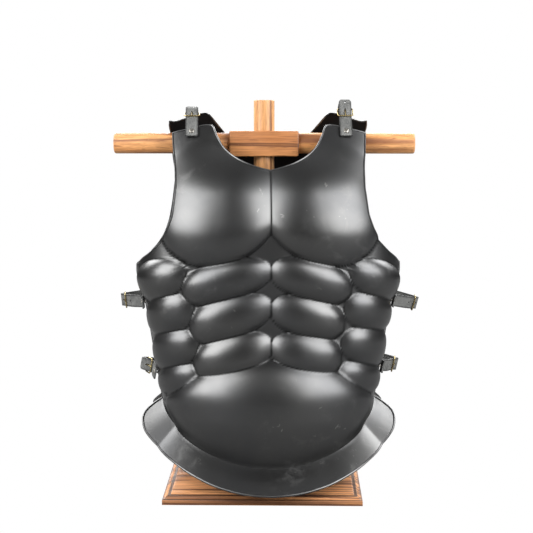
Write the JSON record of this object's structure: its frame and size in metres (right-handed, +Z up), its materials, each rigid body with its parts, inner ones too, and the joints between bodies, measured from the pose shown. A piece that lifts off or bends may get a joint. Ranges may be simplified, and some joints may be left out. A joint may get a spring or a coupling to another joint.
{
  "type": "steel breastplate on wooden stand",
  "caption": "Blackened-steel muscle breastplate with its backplate, joined by buckled leather straps, hanging on a plain wooden T-stand.",
  "frame": {"origin": "middle of the underside of the stand's base, on the surface it stands on", "axes": "+Z up along the post, -Y the way the chest faces, +X along the crossbar towards the wearer's left"},
  "size_m": [0.5041, 0.3523, 0.6318],
  "materials": {
    "blackened_steel": "satin blackened, with worn edges",
    "strap_leather": "worn grey-black",
    "buckle_brass": "dull, tarnished",
    "rivet_steel": "dull",
    "stand_wood": "satin varnish"
  },
  "bodies": {
    "root": {"breastplate": "blackened_steel", "backplate": "blackened_steel", "side_upper_right_tongue_strap": "strap_leather", "side_upper_right_buckle_strap": "strap_leather", "side_upper_right_buckle": "buckle_brass", "side_upper_right_prong": "buckle_brass", "side_upper_right_front_rivet": "rivet_steel", "side_upper_right_back_rivet": "rivet_steel", "side_upper_left_tongue_strap": "strap_leather", "side_upper_left_buckle_strap": "strap_leather", "side_upper_left_buckle": "buckle_brass", "side_upper_left_prong": "buckle_brass", "side_upper_left_front_rivet": "rivet_steel", "side_upper_left_back_rivet": "rivet_steel", "side_lower_right_tongue_strap": "strap_leather", "side_lower_right_buckle_strap": "strap_leather", "side_lower_right_buckle": "buckle_brass", "side_lower_right_prong": "buckle_brass", "side_lower_right_front_rivet": "rivet_steel", "side_lower_right_back_rivet": "rivet_steel", "side_lower_left_tongue_strap": "strap_leather", "side_lower_left_buckle_strap": "strap_leather", "side_lower_left_buckle": "buckle_brass", "side_lower_left_prong": "buckle_brass", "side_lower_left_front_rivet": "rivet_steel", "side_lower_left_back_rivet": "rivet_steel", "shoulder_right_tongue_strap": "strap_leather", "shoulder_right_buckle_strap": "strap_leather", "shoulder_right_buckle": "buckle_brass", "shoulder_right_prong": "buckle_brass", "shoulder_right_front_rivet": "rivet_steel", "shoulder_right_back_rivet": "rivet_steel", "shoulder_left_tongue_strap": "strap_leather", "shoulder_left_buckle_strap": "strap_leather", "shoulder_left_buckle": "buckle_brass", "shoulder_left_prong": "buckle_brass", "shoulder_left_front_rivet": "rivet_steel", "shoulder_left_back_rivet": "rivet_steel", "stand_base": "stand_wood", "stand_post": "stand_wood", "stand_crossbar_block": "stand_wood", "stand_arm_right": "stand_wood", "stand_arm_left": "stand_wood"}
  },
  "joints": []
}
